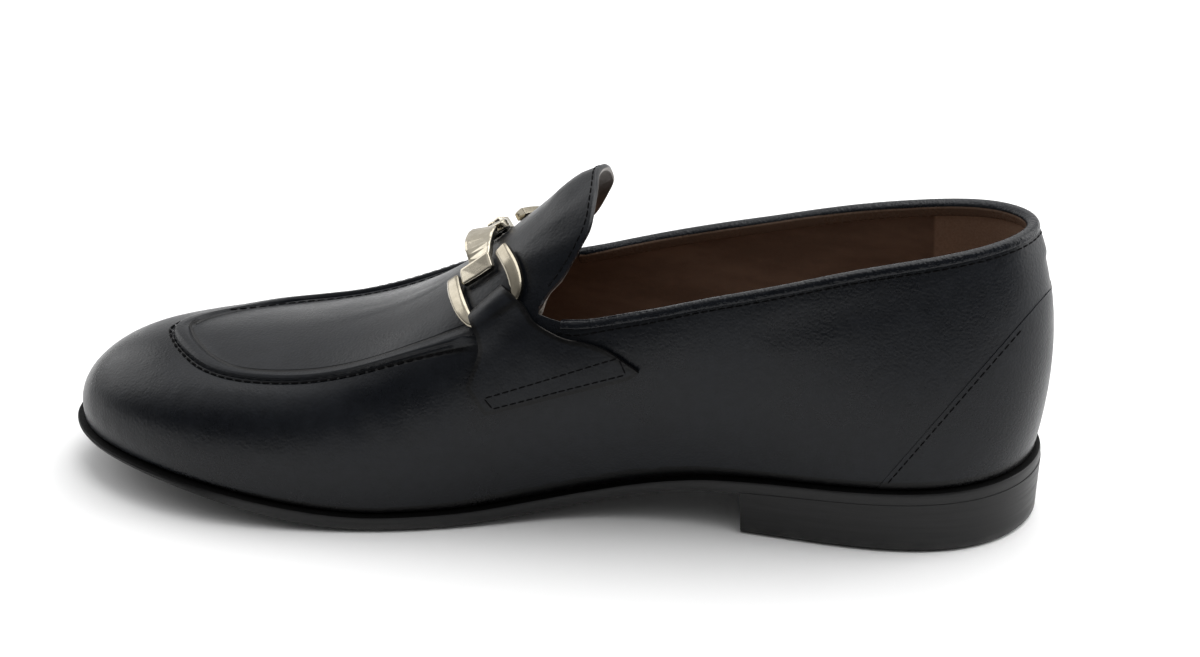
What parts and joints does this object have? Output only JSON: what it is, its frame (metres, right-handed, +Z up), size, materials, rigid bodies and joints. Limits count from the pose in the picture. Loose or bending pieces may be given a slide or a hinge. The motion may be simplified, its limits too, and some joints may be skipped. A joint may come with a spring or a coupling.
{
  "type": "loafer shoe",
  "caption": "Slip-on loafer for the right foot, with an apron toe, bound collar, side tabs and a metal bit across the instep, on a low heel.",
  "frame": {"origin": "middle of the box around the shoe, on the floor plane that heel and forefoot stand on", "axes": "+X from toe to heel, +Y from the medial to the lateral side, +Z up"},
  "size_m": [0.3026, 0.0976, 0.1015],
  "materials": {
    "upper_leather": "smooth satin, blue-black",
    "sole_leather": "black, burnished edge",
    "heel_stack": "black, finely scraped",
    "insole_leather": "brown, matte",
    "binding_leather": "smooth, slightly glossy",
    "wing_leather": "smooth satin, blue-black",
    "bit_metal": "polished, pale champagne"
  },
  "bodies": {
    "root": {"upper": "upper_leather", "outsole": "sole_leather", "heel": "heel_stack", "insole": "insole_leather", "collar_binding": "binding_leather", "saddle_wing_medial": "wing_leather", "saddle_wing_lateral": "wing_leather", "bit_ring_medial": "bit_metal", "bit_ring_lateral": "bit_metal", "bit_link_medial": "bit_metal", "bit_link_lateral": "bit_metal"}
  },
  "joints": []
}
